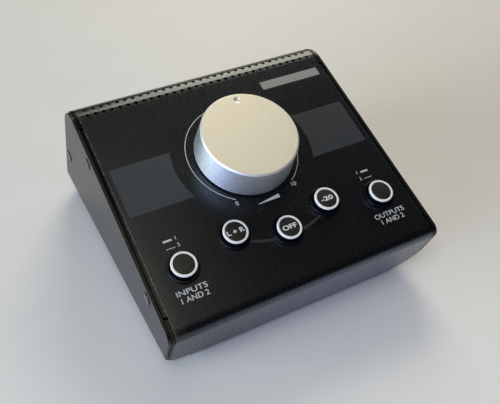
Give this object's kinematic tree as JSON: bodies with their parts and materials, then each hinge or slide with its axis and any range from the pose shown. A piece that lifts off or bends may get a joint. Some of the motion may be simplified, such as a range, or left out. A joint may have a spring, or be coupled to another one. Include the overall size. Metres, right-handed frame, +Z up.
{
  "type": "studio monitor controller",
  "caption": "Wedge-shaped sheet steel desktop monitor controller with a big volume knob, round push buttons with pale rings, a vented rear bend and sockets in the rear wall.",
  "frame": {"origin": "centre of the object's footprint, at the level of the feet's undersides", "axes": "+Z up, +Y to the rear wall with the sockets, +X to the right as the user sees it"},
  "size_m": [0.186, 0.1902, 0.1055],
  "materials": {
    "cover_coat": "black fine-textured powder coat",
    "pan_coat": "black satin powder coat",
    "knob_metal": "satin brushed and anodised, bright chamfer",
    "cap_black": "black gloss",
    "ring_white": "translucent white",
    "plunger_plastic": "natural white",
    "switch_plastic": "dark grey",
    "screw_steel": "dark zinc",
    "plated_steel": "nickel plated",
    "socket_plastic": "black moulded",
    "board": "green solder mask",
    "ribbon": "grey cable jacket",
    "foot_rubber": "black"
  },
  "bodies": {
    "case": {"top_cover": "cover_coat", "base_pan": "pan_coat", "cheek_screw_left_rear": "screw_steel", "cheek_screw_left_upper": "screw_steel", "cheek_screw_left_front": "screw_steel", "base_screw_left_front": "screw_steel", "foot_left_front": "foot_rubber", "base_screw_left_rear": "screw_steel", "foot_left_rear": "foot_rubber", "cheek_screw_right_rear": "screw_steel", "cheek_screw_right_upper": "screw_steel", "cheek_screw_right_front": "screw_steel", "base_screw_right_front": "screw_steel", "foot_right_front": "foot_rubber", "base_screw_right_rear": "screw_steel", "foot_right_rear": "foot_rubber", "board_post_left": "plated_steel", "board_post_right": "plated_steel", "pot_body": "plated_steel", "pot_nut": "plated_steel", "main_board": "board", "jack_board": "board", "ribbon_cable": "ribbon", "jack_1": "socket_plastic", "jack_2": "socket_plastic", "jack_3": "socket_plastic", "jack_4": "socket_plastic", "jack_5": "socket_plastic", "jack_6": "socket_plastic", "jack_7": "socket_plastic", "jack_8": "socket_plastic", "switch_body_source": "switch_plastic", "button_collar_source": "cap_black", "switch_body_mono": "switch_plastic", "button_collar_mono": "cap_black", "switch_body_mute": "switch_plastic", "button_collar_mute": "cap_black", "switch_body_dim": "switch_plastic", "button_collar_dim": "cap_black", "switch_body_monitor": "switch_plastic", "button_collar_monitor": "cap_black"},
    "knob": {"volume_knob": "knob_metal", "knob_set_screw": "screw_steel", "pot_shaft": "plated_steel"},
    "button_source": {"button_cap_source": "cap_black", "button_ring_source": "ring_white", "switch_plunger_source": "plunger_plastic"},
    "button_mono": {"button_cap_mono": "cap_black", "button_ring_mono": "ring_white", "switch_plunger_mono": "plunger_plastic"},
    "button_mute": {"button_cap_mute": "cap_black", "button_ring_mute": "ring_white", "switch_plunger_mute": "plunger_plastic"},
    "button_dim": {"button_cap_dim": "cap_black", "button_ring_dim": "ring_white", "switch_plunger_dim": "plunger_plastic"},
    "button_monitor": {"button_cap_monitor": "cap_black", "button_ring_monitor": "ring_white", "switch_plunger_monitor": "plunger_plastic"}
  },
  "joints": [
    {"name": "volume_turn", "type": "hinge", "parent": "case", "child": "knob", "pos_m": [0, -0.0062, 0.07508], "axis": [0, -0.3123, 0.95], "range_deg": [-141.3, 158.7]},
    {"name": "source_press", "type": "slide", "parent": "case", "child": "button_source", "axis": [0, 0.3123, -0.95], "range_m": [0, 0.003], "stiffness_N_per_m": 500},
    {"name": "mono_press", "type": "slide", "parent": "case", "child": "button_mono", "axis": [0, 0.3123, -0.95], "range_m": [0, 0.003], "stiffness_N_per_m": 500},
    {"name": "mute_press", "type": "slide", "parent": "case", "child": "button_mute", "axis": [0, 0.3123, -0.95], "range_m": [0, 0.003], "stiffness_N_per_m": 500},
    {"name": "dim_press", "type": "slide", "parent": "case", "child": "button_dim", "axis": [0, 0.3123, -0.95], "range_m": [0, 0.003], "stiffness_N_per_m": 500},
    {"name": "monitor_press", "type": "slide", "parent": "case", "child": "button_monitor", "axis": [0, 0.3123, -0.95], "range_m": [0, 0.003], "stiffness_N_per_m": 500}
  ]
}
